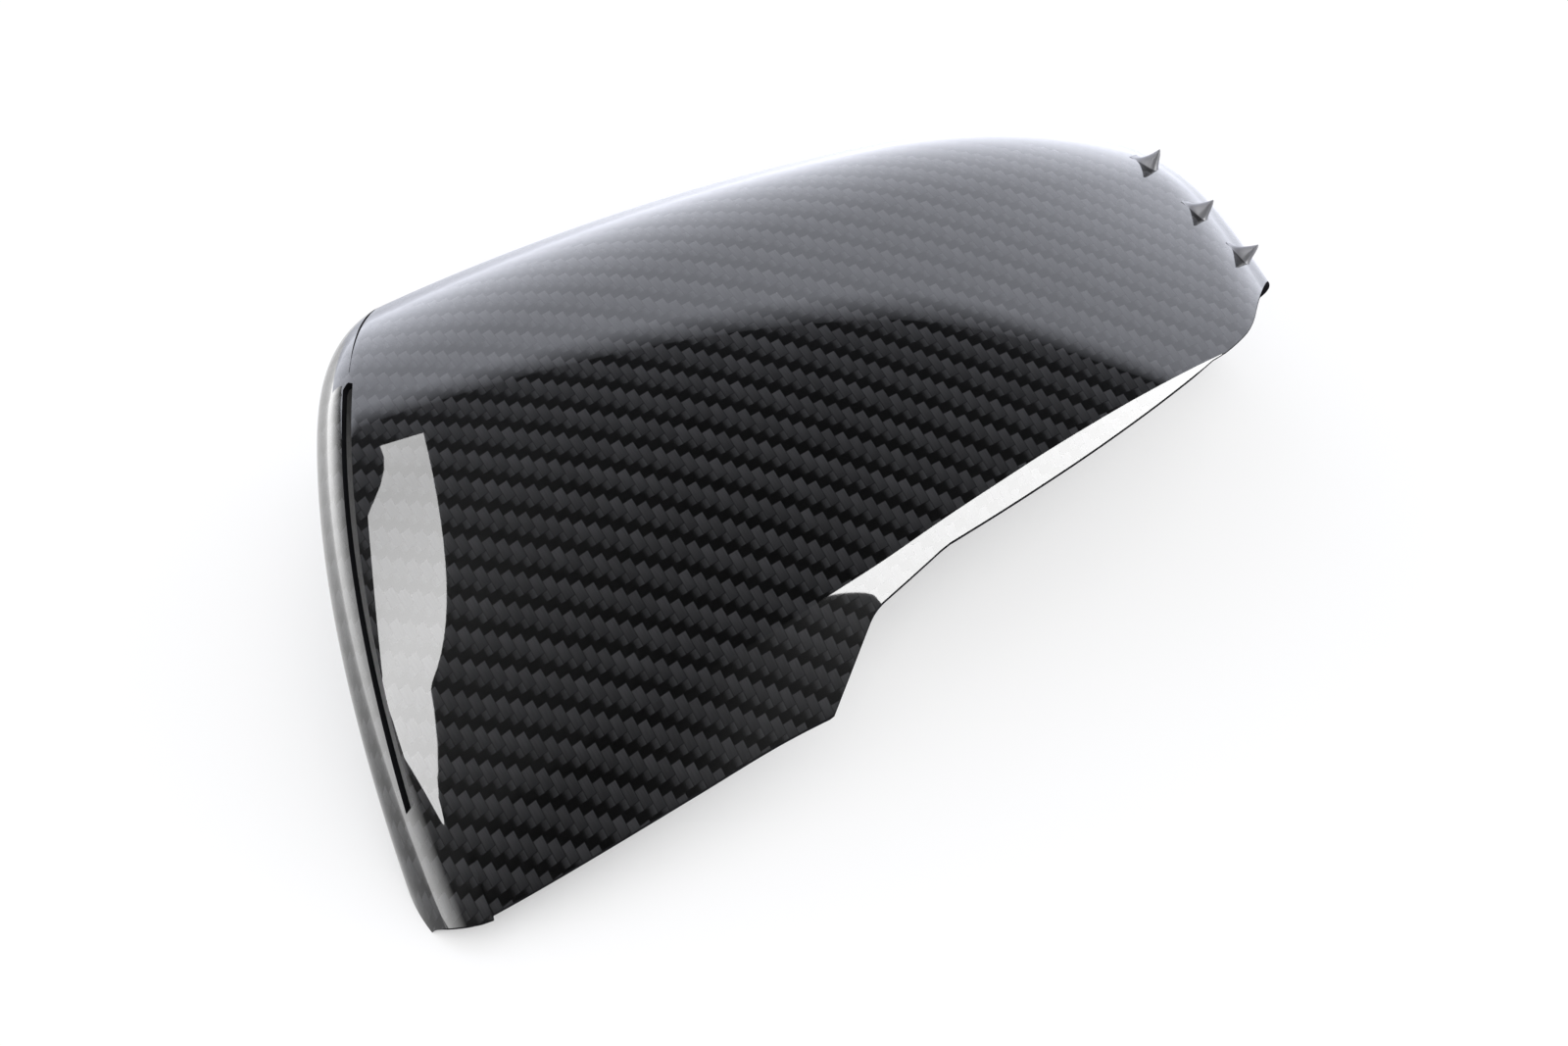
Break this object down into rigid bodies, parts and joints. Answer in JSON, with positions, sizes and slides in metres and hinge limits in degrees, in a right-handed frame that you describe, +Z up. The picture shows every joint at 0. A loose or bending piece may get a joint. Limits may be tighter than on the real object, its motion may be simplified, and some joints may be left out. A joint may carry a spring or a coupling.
{
  "type": "wing mirror cover",
  "caption": "Glossy carbon fibre cover for a car's right-hand wing mirror: a thin curved shell with a lamp slot, locating fins, a notch for the mirror foot and snap-in clips inside.",
  "frame": {"origin": "centre of the bounding box in plan, on the table that the rim rests on", "axes": "+X along the cover from the outer end with the lamp slot to the inner end with the fins, +Y across it from the lower edge to the back, +Z up from the table towards the crown"},
  "size_m": [0.229, 0.1442, 0.0672],
  "materials": {
    "carbon_laminate": "woven 2 by 2 twill carbon fibre under a clear gloss coat",
    "clip_plastic": "fine-grained black moulded plastic"
  },
  "bodies": {
    "root": {"cover_shell": "carbon_laminate", "clip_outer": "clip_plastic", "clip_back_outer": "clip_plastic", "clip_back_inner": "clip_plastic", "clip_lower": "clip_plastic"}
  },
  "joints": []
}
